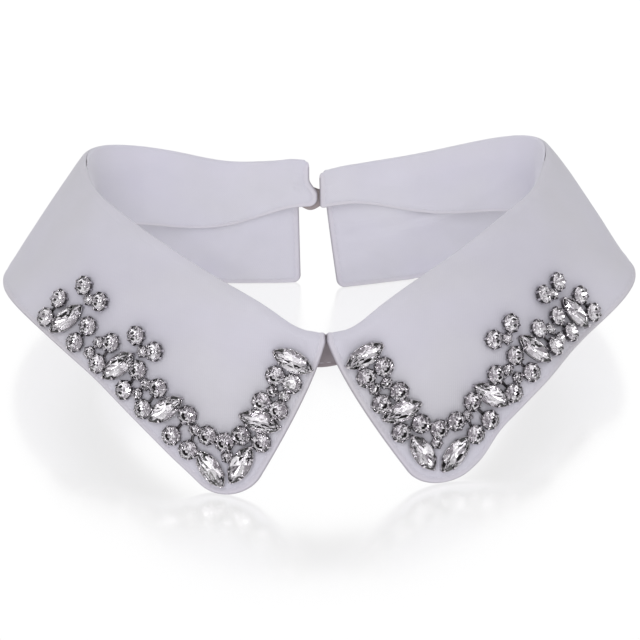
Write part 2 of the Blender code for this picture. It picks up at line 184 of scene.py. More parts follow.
LEAF_LEFT = (
    # station       x      y      z   steep
    ("front", -28.4, 6.5, -6.5, 63.0),
    ("left_lap", -35.0, 10.9, -1.6, 64.0),
    ("left_near", -40.5, 14.5, 3.3, 65.0),
    ("left_fore", -52.8, 23.6, 12.0, 66.0),
    ("left_chest", -70.3, 42.0, 20.6, 64.0),
    ("left_flank", -92.5, 66.5, 28.6, 56.0),
    ("left_side", -102.6, 92.5, 24.5, 52.0),
    ("left_corner", -99.5, 113.0, 19.0, 56.0),
    ("left_turn", -80.5, 131.5, 11.0, 70.0),
    ("left_rear", -53.0, 130.5, 3.0, 82.0),
    ("left_back", -30.7, 127.4, -0.3, 88.0),
    ("left_lobe", -5.4, 126.6, -0.3, 89.0),
    ("left_end", 2.9, 126.6, -0.3, 89.0),
)
LEAF_RIGHT = (
    # station       x      y      z   steep
    ("front", 33.5, 10.2, -6.4, 62.0),
    ("right_lap", 38.1, 12.9, -2.1, 63.0),
    ("right_near", 43.0, 15.9, 1.8, 64.0),
    ("right_fore", 55.4, 26.0, 10.2, 66.0),
    ("right_chest", 72.6, 41.0, 20.4, 64.0),
    ("right_flank", 88.4, 64.0, 20.5, 56.0),
    ("right_side", 105.6, 88.0, 25.0, 48.0),
    ("right_corner", 102.0, 112.0, 18.0, 50.0),
    ("right_turn", 82.3, 130.7, 10.2, 67.0),
    ("right_rear", 53.0, 129.5, 2.5, 82.0),
    ("right_back", 30.5, 126.0, -0.3, 88.0),
    ("right_wave", 22.5, 124.6, -0.3, 88.0),
    ("right_end", 7.2, 122.2, -0.3, 89.0),
)
TAB = (
    # x     low    top
    (-6.5, 33.6, 37.8),
    (-3.4, 30.9, 38.6),
    (-0.2, 29.4, 38.9),
    (2.9, 30.9, 37.6),
    (5.4, 32.8, 37.1),
    (8.6, 33.6, 36.8),
)
TRIM = (
    # kind    along   up   turn  set
    ("navette", 6.6, 14.6, 78, "navette_1"),
    ("navette", 14.6, 6.2, 8, "navette_2"),
    ("small", 11.6, 13.0, 0, "set_1"),
    ("round", 14.4, 16.0, 0, "set_1"),
    ("round", 20.2, 13.6, 0, "set_1"),
    ("small", 24.6, 11.6, 0, "set_2"),
    ("round", 23.8, 5.6, 0, "set_2"),
    ("round", 28.4, 13.8, 0, "set_3"),
    ("round", 30.7, 5.0, 0, "set_3"),
    ("navette", 35.7, 10.2, 108, "navette_3"),
    ("round", 41.0, 13.4, 0, "set_4"),
    ("round", 43.1, 5.0, 0, "set_4"),
    ("small", 46.0, 11.2, 0, "set_5"),
    ("small", 47.6, 7.0, 0, "set_5"),
    ("round", 50.8, 12.9, 0, "set_6"),
    ("round", 52.3, 4.9, 0, "set_6"),
    ("navette", 58.1, 9.4, 106, "navette_4"),
    ("round", 64.6, 12.8, 0, "set_7"),
    ("round", 65.7, 4.8, 0, "set_7"),
    ("small", 69.4, 9.8, 0, "set_8"),
    ("small", 71.0, 5.2, 0, "set_8"),
    ("round", 75.6, 11.6, 0, "set_9"),
    ("round", 77.0, 4.4, 0, "set_9"),
    ("navette", 84.4, 8.2, 106, "navette_5"),
    ("round", 91.4, 11.4, 0, "set_10"),
    ("round", 91.8, 4.0, 0, "set_10"),
    ("round", 47.4, 21.6, 0, "crown_1"),
    ("small", 52.2, 18.4, 0, "crown_1"),
    ("round", 56.6, 21.0, 0, "crown_1"),
    ("round", 76.0, 20.0, 0, "crown_2"),
    ("small", 81.0, 17.8, 0, "crown_2"),
    ("round", 85.6, 20.2, 0, "crown_2"),
    ("round", 4.6, 24.6, 0, "edge_1"),
    ("round", 10.8, 21.6, 0, "edge_1"),
    ("navette", 8.0, 29.2, 155, "navette_6"),
    ("round", 4.4, 36.0, 0, "edge_2"),
    ("round", 10.2, 34.4, 0, "edge_2"),
    ("small", 5.0, 40.6, 0, "edge_3"),
    ("small", 8.6, 39.2, 0, "edge_3"),
    ("round", 4.4, 45.4, 0, "edge_4"),
    ("round", 9.9, 43.8, 0, "edge_4"),
    ("navette", 6.8, 51.0, 165, "navette_7"),
)

# Soft creases pressed in by wear: start and end of each crease on its piece, depth outwards and half width.
CREASES = (
    # piece          along_0  down_0  along_1  down_1  depth  width
    ("leaf_right", 190.0, 26.5, 240.0, 28.5, 0.65, 1.8),
    ("leaf_right", 196.0, 33.5, 240.0, 35.0, 0.60, 1.7),
    ("leaf_right", 184.0, 31.0, 226.0, 31.6, -0.35, 2.2),
    ("leaf_left", 214.0, 30.0, 246.0, 33.0, 0.16, 3.4),
    ("leaf_left", 120.0, 22.0, 150.0, 52.0, 0.30, 9.0),
    ("leaf_right", 118.0, 24.0, 146.0, 50.0, 0.26, 9.0),
    ("leaf_left", 60.0, 20.0, 74.0, 46.0, -0.20, 10.0),
    ("leaf_right", 58.0, 18.0, 70.0, 44.0, -0.22, 10.0),
    ("stand", 58.0, 3.0, 62.0, 20.0, 0.48, 2.8),
    ("stand", 70.0, 2.0, 76.0, 19.0, -0.40, 3.2),
    ("stand", 92.0, 4.0, 99.0, 22.0, 0.36, 3.6),
    ("stand", 300.0, 2.0, 296.0, 20.0, 0.44, 3.2),
    ("stand", 316.0, 3.0, 310.0, 20.0, -0.36, 3.0),
    ("stand", 350.0, 4.0, 372.0, 7.0, 0.14, 2.0),
)
# Soft dent on the neckband's left end: distance along, distance down, depth outwards and size.
SNAP_DENT = (5.4, 3.4, -0.8, 1.5)
# Where a hem swings out of its smooth line: distance along the hem, half reach and depth.
HEM_WAVES = (
    # piece       along  reach  depth
    ("leaf_right", 20.0, 7.5, 1.3),
    ("leaf_right", 32.0, 6.0, -0.4),
    ("leaf_right", 54.0, 9.0, 0.35),
    ("leaf_left", 26.0, 8.0, 0.30),
    ("leaf_left", 64.0, 10.0, -0.30),
)


class Curve:
    """Natural cubic spline through the rows of a table."""

    def __init__(self, knots, rows):
        self.t = t = np.asarray(knots, float)
        self.p = p = np.asarray(rows, float)
        self.gap = gap = np.diff(t)
        count = len(t)
        matrix = np.zeros((count, count))
        right = np.zeros_like(p)
        matrix[0, 0] = matrix[-1, -1] = 1.0
        for i in range(1, count - 1):
            matrix[i, i - 1 : i + 2] = gap[i - 1], 2 * (gap[i - 1] + gap[i]), gap[i]
            right[i] = 6 * ((p[i + 1] - p[i]) / gap[i] - (p[i] - p[i - 1]) / gap[i - 1])
        self.bend = np.linalg.solve(matrix, right)

    def __call__(self, at):
        t, p, bend = self.t, self.p, self.bend
        at = np.clip(np.atleast_1d(np.asarray(at, float)), t[0], t[-1])
        i = np.clip(np.searchsorted(t, at) - 1, 0, len(t) - 2)
        a = (at - t[i])[:, None]
        b = (t[i + 1] - at)[:, None]
        w = self.gap[i][:, None]
        ends = (p[i] / w - bend[i] * w / 6) * b + (p[i + 1] / w - bend[i + 1] * w / 6) * a
        return (bend[i] * b**3 + bend[i + 1] * a**3) / (6 * w) + ends


STATIONS = [row[0] for row in RING]
CREST = np.array([row[1:4] for row in RING])
BAND = np.array([row[4:6] for row in RING])
KNOTS = np.r_[0.0, np.cumsum(np.linalg.norm(np.diff(CREST, axis=0), axis=1))]
FRONT = KNOTS[STATIONS.index("front")]
RING_LENGTH = KNOTS[-1]
crest = Curve(KNOTS, CREST)
band = Curve(KNOTS, BAND)


def unit(vectors):
    """The same directions at length one."""
    return vectors / np.linalg.norm(vectors, axis=-1, keepdims=True)


def smooth(share):
    """Eased step from 0 to 1."""
    share = np.clip(share, 0.0, 1.0)
    return share * share * (3 - 2 * share)


def arc(points):
    """Distance of each point along its line."""
    return np.r_[0.0, np.cumsum(np.linalg.norm(np.diff(points, axis=0), axis=1))]


def point_along(at, run, points):
    """Point, or points, at a distance along a line of points."""
    return np.stack([np.interp(at, run, points[:, i]) for i in range(3)], axis=-1)


def outward(at):
    """Level direction away from the neck, square to the roll seen from above."""
    at = np.atleast_1d(at)
    step = unit((crest(at + RING_STEP) - crest(at - RING_STEP))[:, :2])
    return np.stack([step[:, 1], -step[:, 0], np.zeros(len(step))], axis=1)


def from_end(at):
    """Distance along the ring to its nearer back end."""
    return np.minimum(at, RING_LENGTH - at)


def neck_side(below):
    """How far in from the crest the neckband's middle stands, this far below: it leans out to the fold."""
    return ROLL * (1.0 - max(1.0 - below / LEAN_FROM, 0.0) ** LEAN_POWER)


def roll_point(top, out, angle):
    """Middle of the leaf's cloth on the roll, at this angle: pi at the neck's side, half of it on top."""
    rise = math.sin(angle)
    if math.cos(angle) < 0:
        return top - neck_side(ROLL * (1 - rise)) * out - ROLL * (1 - rise) * UP
    pinch = 1.0 - PINCH * max(rise, 0.0) ** 4
    return top + ROLL * (math.cos(angle) * pinch * out + (rise - 1) * UP)


class Leaf:
    """One fall of the collar: crest, roll and fall line at every distance along the ring."""

    def __init__(self, table, start, end, tip_radius):
        at = np.array([KNOTS[STATIONS.index(row[0])] for row in table])
        rows = np.array([row[1:] for row in table])
        order = np.argsort(at)
        self.curve = Curve(at[order], rows[order])
        self.tip_radius = tip_radius
        self.fine = np.linspace(start, end, 241)
        self.hem_length = arc(self.curve(self.fine)[:, :3])

    def place(self, along):
        return np.interp(along, self.hem_length, self.fine)

    def section(self, at, roll_steps):
        """Points of one section from the seam over the roll, and of its fall."""
        row = self.curve(at)[0]
        out = outward(at)[0]
        steep = math.radians(row[3])
        top = crest(at)[0]
        lower = [ROLL + SEAM_DROP * share for share in (1.0, SEAM_SPLIT)]
        roll = [top - neck_side(below) * out - below * UP for below in lower]
        turn = np.linspace(math.pi, SQUARE - steep, roll_steps)
        roll += [roll_point(top, out, angle) for angle in turn]
        hem = row[:3]
        length = np.linalg.norm(hem - roll[-1])
        level = np.cross(UP, out)
        slant = SLANT * (hem - roll[-1]) @ level / length
        leave = math.cos(steep) * out - math.sin(steep) * UP
        leave = math.sqrt(1 - slant * slant) * leave + slant * level
        handle = roll[-1] + leave * HANDLE * length
        share = np.linspace(0, 1, FALL_STEPS)[:, None]
        fall = (1 - share) ** 2 * roll[-1] + 2 * share * (1 - share) * handle + share**2 * hem
        return np.array(roll), fall

    def point(self, along, up):
        """Point on the cloth's middle, this far along the hem and up from it."""
        fall = self.section(self.place(along), 5)[1]
        run = arc(fall)
        return point_along(run[-1] - up, run, fall)

    def frame(self, along, up):
        """Point on the cloth's middle with unit directions along the hem, up from it and outwards."""
        here = self.point(along, up)
        step_along = self.point(along + 1.0, up) - self.point(max(along - 1.0, 0.0), up)
        step_up = self.point(along, up + 1.0) - self.point(along, up - 1.0)
        normal = unit(np.cross(step_along, step_up))
        if normal @ outward(self.place(along))[0] < 0:
            normal = -normal
        right_way = unit(step_along)
        up_way = step_up - (step_up @ right_way) * right_way
        return here, right_way, unit(up_way), normal


def corner_cut(distance, radius, angle):
    """How far a rounded corner cuts back the line this far from the edge, measured along the line."""
    reach = radius / math.tan(angle / 2)
    if distance >= reach:
        return 0.0
    b = (distance - reach) * math.cos(angle) - radius * math.sin(angle)
    return -b - math.sqrt(max(b * b - (distance - reach) ** 2, 0.0))


def corner_columns(radius, angle, count):
    """Distances from the edge of the columns that draw a rounded corner, closest at the edge."""
    reach = radius / math.tan(angle / 2)
    return [reach * (k / count) ** 2 for k in range(count + 1)]


def leaf_grid(leaf, name):
    """Middle of the cloth in columns from the front edge to the back end, and how far its rows rise."""
    total = leaf.hem_length[-1]
    tip = corner_columns(leaf.tip_radius, TIP_ANGLE, TIP_COLUMNS)
    corner = corner_columns(BACK_CORNER_RADIUS, SQUARE, BACK_COLUMNS)
    back = [total - distance for distance in reversed(corner)]
    middle = np.linspace(tip[-1], back[0], int((back[0] - tip[-1]) / LEAF_PITCH) + 2)[1:-1]
    columns = [*tip, *middle, *back]
    grid, rises = [], []
    for distance in columns:
        at = leaf.place(distance)
        roll, fall = leaf.section(at, ROLL_STEPS)
        fall = np.r_[fall, [fall[-1] + HEM_SPARE * unit(fall[-1] - fall[-2])]]
        run = arc(fall)
        length = run[-2] - corner_cut(distance, leaf.tip_radius, TIP_ANGLE)
        length -= corner_cut(total - distance, BACK_CORNER_RADIUS, SQUARE)
        for piece, along, reach, depth in HEM_WAVES:
            if piece == name:
                length += depth * math.exp(-(((distance - along) / reach) ** 2))
        upper = np.linspace(0.0, length - EDGE_STOPS[0], FALL_ROWS + 1)[1:]
        stops = np.r_[upper, length - EDGE_STOPS[1:]]
        grid.append(np.r_[roll, point_along(stops, run, fall)])
        steep = math.radians(leaf.curve(at)[0][3])
        turned = ROLL * np.linspace(0.0, SQUARE + steep, ROLL_STEPS)
        rise = np.r_[0.0, (1 - SEAM_SPLIT) * SEAM_DROP, SEAM_DROP + turned, PAST_ROLL + stops]
        rises.append(SEAM + rise)
    return np.array(grid), np.array(columns), np.array(rises)


def stand_point(at, down):
    """Middle of the neckband this far below the seam, or on the roll's inner side where down is negative."""
    height, lean = band(at)[0]
    out = outward(at)[0]
    top = crest(at)[0]
    below = ROLL + SEAM_DROP + SEAM + down
    if below >= ROLL:
        share = max(down, 0.0) / height
        edge = from_end(at)
        along_back = smooth((BACK_REACH - edge) / BACK_FADE) * smooth((edge - 2.0) / 22.0)
        swing = LOW_SWING * share**SWING_POWER * along_back
        level = lean * share + swing - neck_side(below)
        return top + level * out - (below + SWING_DROP * swing) * UP
    return roll_point(top, out, math.pi - (-down - SEAM_DROP - SEAM) / ROLL)


def facing_top(at):
    """How far the neckband's inner cloth covers the roll, from the seam: right over it along the back."""
    covered = FACING + (FACING_BACK - FACING) * smooth((FACING_TURN - from_end(at)) / FACING_FADE)
    left_share = smooth((FACING_REACH - at) / (FACING_REACH - FACING_FULL_LEFT))
    right_share = smooth((FACING_REACH - (RING_LENGTH - at)) / (FACING_REACH - FACING_FULL_RIGHT))
    return covered + (FACING_END - covered) * max(left_share, right_share)


def stand_grid():
    """Middle of the neckband from its left back end to its right one, and how far below the seam it is."""
    edges = corner_columns(STAND_TOP_CORNER, SQUARE, CORNER_COLUMNS)
    edges += [STAND_TOP_CORNER + END_PITCH * k for k in range(1, END_COLUMNS + 1)]
    inner = np.arange(edges[-1] + STAND_PITCH, RING_LENGTH - edges[-1] - 1.0, STAND_PITCH)
    places = [*edges, *inner, *(RING_LENGTH - edge for edge in reversed(edges))]
    grid, downs = [], []
    for at in places:
        edge = from_end(at)
        left_side = at < RING_LENGTH / 2
        lobe, flare, low_corner = 0.0, FLARE_RIGHT, STAND_LOW_CORNER
        if left_side:
            lobe, flare, low_corner = LOBE, FLARE_LEFT, LEFT_LOW_CORNER
        top = corner_cut(edge, STAND_TOP_CORNER, SQUARE) - facing_top(at)
        low = band(at)[0][0] - corner_cut(edge, low_corner, SQUARE)
        split = min(max(top + 0.4, 0.0), low - 4.0)
        covering = top + (split - top) * np.linspace(0, 1, FACING_ROWS) ** FACING_SPREAD
        down = np.r_[covering, split + (low - split) * STAND_ROWS[1:]]
        lobe *= max(1.0 - edge / LOBE_REACH, 0.0)
        flare *= smooth((FACING_REACH - edge) / FLARE_FADE)
        column = []
        for distance in down:
            share = np.clip((distance + STAND_RISE) / (low + STAND_RISE), 0.0, 1.0)
            back = lobe * (1.0 - smooth((share - 0.4) / 0.45))
            column.append(stand_point(at + back, distance) + flare * smooth(-distance / FLARE_RISE) * UP)
        grid.append(column)
        downs.append(down)
    return np.array(grid), np.array(places), np.array(downs)


def tab_grid():
    """Middle of the closure tab behind the two back ends."""
    rows = np.array(TAB)
    stops = np.r_[0.0, 0.02, 0.06, 0.12, 0.2, np.linspace(0.3, 0.7, 5), 0.8, 0.88, 0.94, 0.98, 1.0]
    ends = np.r_[0.0, 0.1, 0.35, 0.7, np.linspace(1.2, 13.9, 20), 14.4, 14.75, 15.0, 15.1]
    grid = []
    for x, low, top in Curve(rows[:, 0], rows)(rows[0, 0] + ends):
        at = CREST[0][0] - x if x < CREST[0][0] else RING_LENGTH - max(x - CREST[-1][0], 0.0)
        back = crest(at)[0][1] - ROLL + CLOTH / 2 + SEAM + TAB_WALL / 2
        edge = min(x - rows[0, 0], rows[-1, 0] - x)
        cut = corner_cut(edge, TAB_CORNER, SQUARE)
        grid.append([(x, back, top - cut + (low - top + 2 * cut) * share) for share in stops])
    return np.array(grid)


def surface_normals(grid, facing):
    """Unit normals of a grid, turned so that the normal at its middle looks along facing."""
    across = np.gradient(grid, axis=0)
    down = np.gradient(grid, axis=1)
    normal = np.cross(across, down)
    normal /= np.maximum(np.linalg.norm(normal, axis=2), 1e-9)[:, :, None]
    middle = normal[grid.shape[0] // 2, grid.shape[1] * 2 // 3]
    return normal if middle @ facing > 0 else -normal


def distance_to(grid, line):
    """Distance from each point of a grid to the nearest stretch of a line of points."""
    points = grid.reshape(-1, 3)
    best = np.full(len(points), 1e9)
    for a, b in zip(line[:-1], line[1:]):
        span = b - a
        size = span @ span
        if size < 1e-12:
            continue
        t = np.clip((points - a) @ span / size, 0.0, 1.0)
        best = np.minimum(best, np.linalg.norm(points - a - t[:, None] * span, axis=1))
    return best.reshape(grid.shape[:2])


def crease_field(name, along, down):
    """How far the creases of a piece move its cloth, at each distance along and down."""
    field = np.zeros_like(along)
    for piece, a0, d0, a1, d1, depth, width in CREASES:
        if piece != name:
            continue
        span = np.array([a1 - a0, d1 - d0])
        size = span @ span
        t = ((along - a0) * span[0] + (down - d0) * span[1]) / size
        side = ((along - a0) * span[1] - (down - d0) * span[0]) / math.sqrt(size)
        fade = smooth((t + 0.25) / 0.4) * smooth((1.25 - t) / 0.4)
        field += depth * fade * np.exp(-((side / width) ** 2))
    return field


def soft_waves(along, down, seed):
    """Slight unevenness of pressed cotton over its interlining."""
    draw = np.random.default_rng(seed)
    field = np.zeros_like(along)
    for _ in range(WAVES):
        pitch, angle, phase = draw.uniform(*WAVE_PITCH), draw.uniform(0, math.pi), draw.uniform(0, 6.28)
        run = along * math.cos(angle) + down * math.sin(angle)
        field += WAVE_HEIGHT * np.sin(run * 2 * math.pi / pitch + phase)
    return field


def add_mesh(name, points, faces, materials, face_materials=None, face_smooth=True, uv=None, rim=None):
    """Object from points in millimetres, with its materials, its shading and the two maps of a cloth."""
    mesh = bpy.data.meshes.new(name)
    verts = (np.asarray(points) - ORIGIN) * MM
    mesh.from_pydata(verts.tolist(), [], [tuple(map(int, face)) for face in faces])
    mesh.update()
    for one in materials:
        mesh.materials.append(one)
    if face_materials is not None:
        mesh.polygons.foreach_set("material_index", np.asarray(face_materials, np.int32))
    shading = np.asarray(face_smooth, bool)
    mesh.polygons.foreach_set("use_smooth", np.broadcast_to(shading, len(mesh.polygons)).copy())
    if uv is not None:
        corners = np.zeros(len(mesh.loops), np.int32)
        mesh.loops.foreach_get("vertex_index", corners)
        for label, values in (("cloth", uv), ("rim", rim)):
            layer = mesh.uv_layers.new(name=label)
            layer.data.foreach_set("uv", np.asarray(values, np.float32)[corners].ravel())
    made = bpy.data.objects.new(name, mesh)
    bpy.context.scene.collection.objects.link(made)
    return made


def shell(name, grid, normal, half, shift, uv, distance, materials, outer_slot=0):
    """Closed thin shell over a grid: both faces, meeting in one line all round its edge."""
    across, down = grid.shape[:2]
    outer = grid + normal * (shift + half)[:, :, None]
    inner = grid + normal * (shift - half)[:, :, None]
    edge = np.ones((across, down), bool)
    edge[1:-1, 1:-1] = False
    outer[edge] = inner[edge] = (grid + normal * shift[:, :, None])[edge]
    outer[:, :, 2] = np.maximum(outer[:, :, 2], FLOOR_CLEAR)
    inner[:, :, 2] = np.maximum(inner[:, :, 2], FLOOR_CLEAR)
    number = np.arange(across * down).reshape(across, down)
    under = number.copy()
    under[~edge] = across * down + np.arange((~edge).sum())
    points = np.r_[outer.reshape(-1, 3), inner[~edge]]
    coordinates = np.r_[uv.reshape(-1, 2), uv[~edge]]
    rim = np.stack([np.minimum(distance, 0.99 * RIM_SPAN) / RIM_SPAN, np.full(distance.shape, 0.5)], axis=2)
    rim = np.r_[rim.reshape(-1, 2), rim[~edge]]
    faces = []
    for top, flip in ((number, False), (under, True)):
        a, b = top[:-1, :-1].ravel(), top[1:, :-1].ravel()
        c, d = top[1:, 1:].ravel(), top[:-1, 1:].ravel()
        faces += list(zip(a, d, c, b) if flip else zip(a, b, c, d))
    slots = np.repeat([outer_slot, len(materials) - 1 - outer_slot], len(faces) // 2)
    made = add_mesh(name, points, faces, materials, slots, uv=coordinates, rim=rim)
    mesh = made.data
    corners = [mesh.vertices[i].co for face in mesh.polygons for i in face.vertices[:3]]
    corners = np.array(corners).reshape(-1, 3, 3)
    if np.einsum("ij,ij->i", corners[:, 0], np.cross(corners[:, 1], corners[:, 2])).sum() < 0:
        mesh.flip_normals()
    return made


def free_edge(grid):
    """Line of points down one end of a grid, along its hem and up the other end."""
    return np.r_[grid[0], grid[1:-1, -1], grid[-1, ::-1]]


def lip(distance, reach):
    """Share of the wall this far from an edge that is rounded within its reach."""
    return np.sqrt(np.clip(1 - (1 - np.minimum(distance / reach, 1.0)) ** 2, 0, 1))


def edge_profile(distance, wall):
    """Half thickness this far from a turned edge: round lip, ridge of turned-in cloth, stitch line."""
    start = smooth(distance / RIDGE_START)
    ridge = RIDGE * start * (1 - smooth((distance - RIDGE_END) / RIDGE_FADE))
    groove = -GROOVE * np.exp(-(((distance - STITCH_INSET) / GROOVE_WIDTH) ** 2))
    return wall / 2 * lip(distance, wall * LIP) + (ridge + groove) * start


def tube_faces(rings, sides):
    """Faces of a closed tube between rings of points."""
    faces = []
    for ring in range(rings - 1):
        for s in range(sides):
            a, b = ring * sides + s, ring * sides + (s + 1) % sides
            faces.append((a, b, b + sides, a + sides))
    faces.append(tuple(range(sides))[::-1])
    faces.append(tuple(range((rings - 1) * sides, rings * sides)))
    return faces


def renumbered(faces, first):
    """The same faces, for points that start at this number."""
    return [tuple(i + first for i in face) for face in faces]


def stitch_line(points, normals):
    """Sewn stitches along a line of points, a bead of thread for each."""
    run = arc(points)
    bead = [(face[0], *face[:0:-1]) for face in tube_faces(len(STITCH_FORM), STITCH_SIDES)]
    verts, faces = [], []
    for k in range(int(run[-1] // (STITCH_LENGTH + STITCH_GAP))):
        start = k * (STITCH_LENGTH + STITCH_GAP) + STITCH_GAP / 2
        faces += renumbered(bead, len(verts))
        for share, size in STITCH_FORM:
            at = start + STITCH_LENGTH * share
            ahead = unit(point_along(at + 0.3, run, points) - point_along(at - 0.3, run, points))
            normal = unit(point_along(at, run, normals))
            side = unit(np.cross(ahead, normal))
            middle = point_along(at, run, points) - normal * STITCH_SINK * (1 - size)
            for s in range(STITCH_SIDES):
                angle = 2 * math.pi * s / STITCH_SIDES
                around = side * math.cos(angle) * STITCH_FLAT + normal * math.sin(angle)
                verts.append(middle + around * STITCH_RADIUS * size)
    return verts, faces


def edge_stitches(name, grid, normal, shift, skip, toward):
    """Two stitch lines, one on each face, set in from the free edge; skip leaves out its corner columns."""
    count, rows = grid.shape[:2]
    down = np.arange(3, rows - 2 + skip)
    hem = np.arange(skip, count - skip)
    columns = np.r_[np.zeros(len(down), int), hem, np.full(len(down), count - 1)]
    index = columns, np.r_[down, np.full(len(hem), rows - 1), down[::-1]]
    edge, way = grid[index], normal[index]
    inward = unit(np.cross(way, unit(np.gradient(edge, axis=0))))
    middle = count // 2
    if np.cross(normal[middle, -1], grid[middle + 1, -1] - grid[middle, -1]) @ toward < 0:
        inward = -inward
    line = edge + inward * STITCH_INSET + way * shift[index][:, None]
    keep = np.r_[True, np.linalg.norm(np.diff(line, axis=0), axis=1) > 0.02]
    keep &= distance_to(line[None], edge)[0] > STITCH_INSET * 0.93
    line, way = line[keep], way[keep]
    half = edge_profile(STITCH_INSET, CLOTH)
    verts, faces = [], []
    for sign in (1, -1):
        new_verts, new_faces = stitch_line(line + way * sign * half, way * sign)
        faces += renumbered(new_faces, len(verts))
        verts += new_verts
    return add_mesh(name, verts, faces, [white_thread])


# Materials

THREAD = 0.36
RIM_SPAN = 10.0
WHITE = (1.0, 1.0, 1.0)
COTTON_SURFACE = {
    "Roughness": 0.86,
    "Specular IOR Level": 0.25,
    "Sheen Weight": 0.18,
    "Sheen Roughness": 0.45,
}
# Tone of the cloth against its distance from the free edge, as shares of the rim's span: painted shadow at
# the very edge, painted shade along the pressed stitch line.
RIM_PAINTED_SHADE = (
    (0.0, (0.50, 0.47, 0.48)),
    (0.02, (0.66, 0.63, 0.64)),
    (0.05, (0.92, 0.90, 0.90)),
    (0.08, (1.0, 0.985, 0.975)),
    (0.155, (1.0, 0.985, 0.98)),
    (0.19, (0.95, 0.945, 0.95)),
    (0.23, (0.985, 0.985, 0.988)),
    (0.34, WHITE),
)


def node(tree, kind, inputs, **settings):
    """New node with its settings; each input is joined to a socket or set to a value."""
    made = tree.nodes.new(kind)
    for key, value in settings.items():
        setattr(made, key, value)
    for key, value in inputs.items():
        if isinstance(value, bpy.types.NodeSocket):
            tree.links.new(value, made.inputs[key])
        else:
            made.inputs[key].default_value = value
    return made


def maths(tree, operation, *values):
    return node(tree, "ShaderNodeMath", dict(enumerate(values)), operation=operation).outputs[0]


def noise(tree, place, scale, detail):
    return node(tree, "ShaderNodeTexNoise", {"Vector": place, "Scale": scale, "Detail": detail}).outputs[0]


def product(tree, first, second):
    """One colour multiplied by another."""
    inputs = {0: 1.0, 6: first, 7: second}
    return node(tree, "ShaderNodeMix", inputs, data_type="RGBA", blend_type="MULTIPLY").outputs[2]


def tones(tree, value, stops):
    """Colour ramp over a value, from rows of place and colour in rising order."""
    made = node(tree, "ShaderNodeValToRGB", {0: value})
    elements = made.color_ramp.elements
    elements[0].position, elements[1].position = stops[0][0], stops[-1][0]
    for place, _ in stops[1:-1]:
        elements.new(place)
    for element, (_, colour) in zip(elements, stops):
        element.color = (*colour, 1.0)
    return made.outputs[0]


def new_material(name, surface):
    """Material with the values of its shader's own sockets, its node tree and its shader."""
    made = bpy.data.materials.new(name)
    made.use_nodes = True
    shader = made.node_tree.nodes["Principled BSDF"]
    for key, value in surface.items():
        shader.inputs[key].default_value = value
    return made, made.node_tree, shader


def add_relief(tree, shader, height, strength, depth):
    """Bumps on a surface, from a height and a depth in millimetres."""
    bump = node(tree, "ShaderNodeBump", {"Height": height, "Strength": strength, "Distance": depth * MM})
    tree.links.new(bump.outputs[0], shader.inputs["Normal"])


def cotton_material(name, colour, shade, weave=1.0):
    """Plain woven cotton: crossing threads at real size, slubs, a slight change of tone, and painted shade
    at its free edge and stitch line.
    """
    made, tree, shader = new_material(name, COTTON_SURFACE)
    place = node(tree, "ShaderNodeUVMap", {}, uv_map="cloth").outputs[0]
    split = node(tree, "ShaderNodeSeparateXYZ", {0: place})
    pitch = math.pi / (THREAD * MM)
    warp = maths(tree, "SINE", maths(tree, "MULTIPLY", split.outputs[0], pitch))
    weft = maths(tree, "SINE", maths(tree, "MULTIPLY", split.outputs[1], pitch))
    crossing = maths(tree, "MULTIPLY", maths(tree, "MULTIPLY", warp, weft), 0.6)
    ribs = maths(tree, "ADD", maths(tree, "ABSOLUTE", warp), maths(tree, "ABSOLUTE", weft))
    threads = maths(tree, "ADD", crossing, maths(tree, "MULTIPLY", ribs, 0.35))
    stretch = node(tree, "ShaderNodeMapping", {"Vector": place, "Scale": (420.0, 2600.0, 1.0)})
    slub = noise(tree, stretch.outputs[0], 1.0, 2.0)
    relief = maths(tree, "ADD", threads, maths(tree, "MULTIPLY", slub, 0.9))
    add_relief(tree, shader, relief, 0.30 * weave, 0.09)
    cloud = maths(tree, "MULTIPLY", noise(tree, place, 60.0, 3.0), 0.5)
    tone = maths(tree, "ADD", cloud, maths(tree, "MULTIPLY", threads, 0.16))
    ground = tones(tree, tone, ((0.1, shade), (0.55, colour)))
    hue = tones(tree, noise(tree, place, 26.0, 2.0), ((0.38, (0.985, 0.99, 0.955)), (0.62, WHITE)))
    rim = node(tree, "ShaderNodeUVMap", {}, uv_map="rim").outputs[0]
    from_edge = node(tree, "ShaderNodeSeparateXYZ", {0: rim}).outputs[0]
    # Painted shadow at the free edge and painted shade on the stitch line, set by the rim map.
    cloth = product(tree, product(tree, ground, hue), tones(tree, from_edge, RIM_PAINTED_SHADE))
    tree.links.new(cloth, shader.inputs["Base Color"])
    return made


def thread_material(name, colour):
    """Twisted sewing thread."""
    surface = {"Base Color": (*colour, 1.0), "Roughness": 0.6, "Sheen Weight": 0.3}
    made, tree, shader = new_material(name, surface)
    place = node(tree, "ShaderNodeTexCoord", {}).outputs["Object"]
    inputs = {"Vector": place, "Scale": 2400.0}
    twist = node(tree, "ShaderNodeTexWave", inputs, wave_type="BANDS", bands_direction="DIAGONAL")
    add_relief(tree, shader, twist.outputs["Fac"], 0.5, 0.05)
    return made


def crystal_material(name, colour):
    """Clear cut crystal."""
    surface = {"Base Color": (*colour, 1.0), "Roughness": 0.0, "IOR": 1.6, "Transmission Weight": 1.0}
    return new_material(name, surface)[0]


def metal_material(name, bright, dull, low, high, scale):
    """Metal whose tone and roughness change from place to place, duller where it is rougher."""
    made, tree, shader = new_material(name, {"Metallic": 1.0})
    place = node(tree, "ShaderNodeTexCoord", {}).outputs["Object"]
    cloud = noise(tree, place, scale, 3.0)
    tree.links.new(tones(tree, cloud, ((0.35, dull), (0.65, bright))), shader.inputs["Base Color"])
    spread = node(tree, "ShaderNodeMapRange", {"Value": cloud, "To Min": high, "To Max": low})
    tree.links.new(spread.outputs[0], shader.inputs["Roughness"])
    return made


